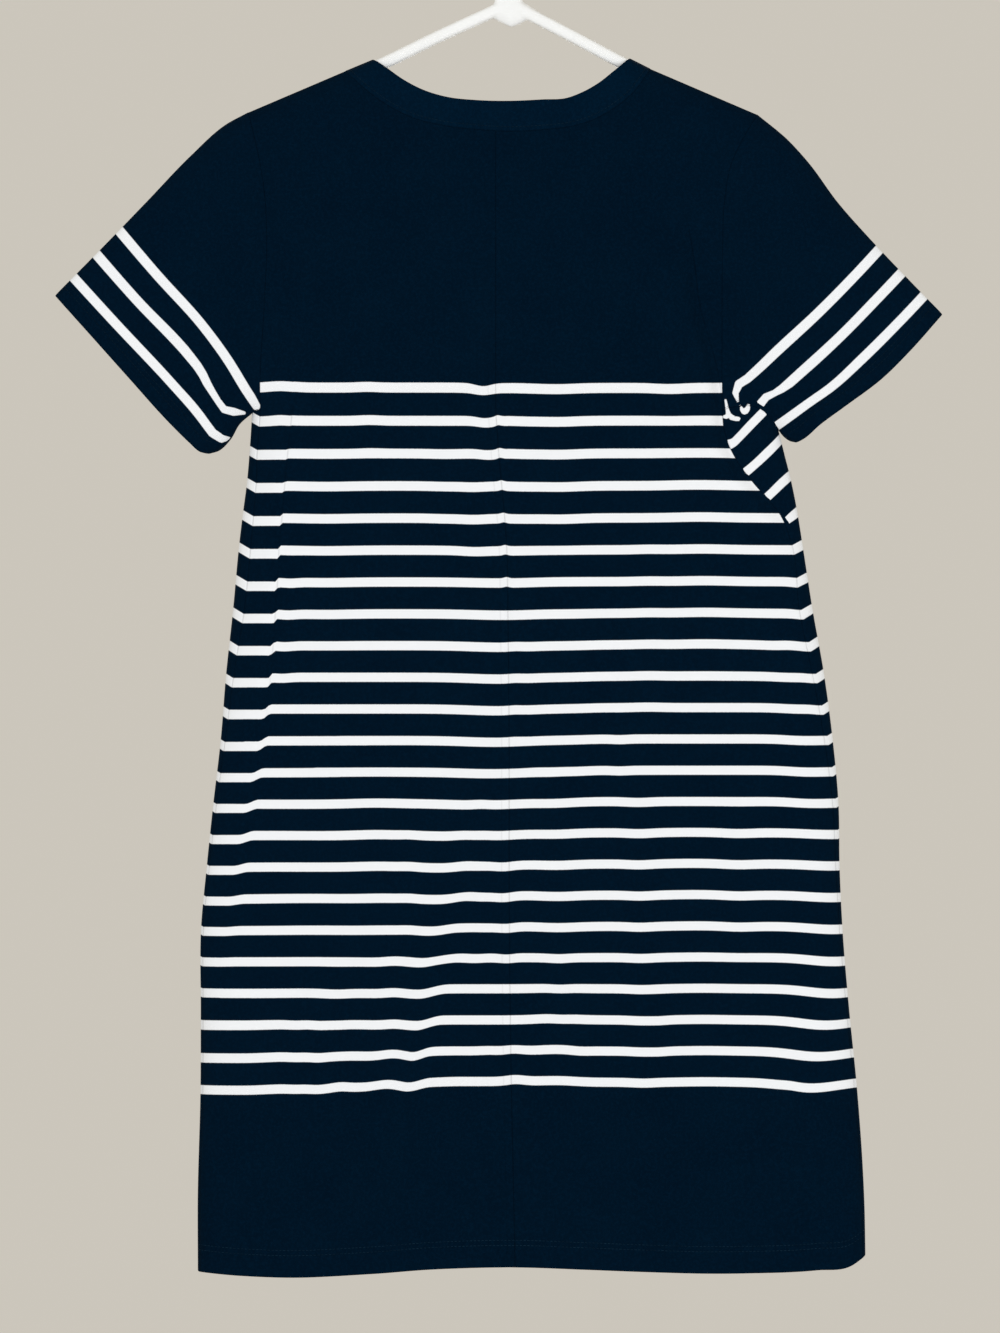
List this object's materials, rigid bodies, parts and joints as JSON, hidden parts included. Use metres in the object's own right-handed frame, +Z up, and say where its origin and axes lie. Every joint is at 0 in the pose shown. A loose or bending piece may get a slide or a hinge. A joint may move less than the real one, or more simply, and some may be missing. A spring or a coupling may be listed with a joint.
{
  "type": "t-shirt dress on hanger",
  "caption": "Short-sleeved striped jersey dress with a round neck and straight hem, hanging flat on a one-piece tubular plastic hanger.",
  "frame": {"origin": "highest point inside the hanger's hook, where a clothes rod bears", "axes": "+Z up, the back of the dress faces -Y, +X towards the wearer's right"},
  "size_m": [0.6719, 0.0347, 1.0334],
  "materials": {
    "jersey": "matt cotton jersey, navy with white stripes knitted in",
    "neck_jersey": "matt cotton jersey, plain navy",
    "hanger_plastic": "smooth white moulded plastic, satin"
  },
  "bodies": {
    "root": {"back_left": "jersey", "back_right": "jersey", "front": "jersey", "sleeve_left": "jersey", "sleeve_right": "jersey", "neckband": "neck_jersey", "hanger": "hanger_plastic"}
  },
  "joints": []
}
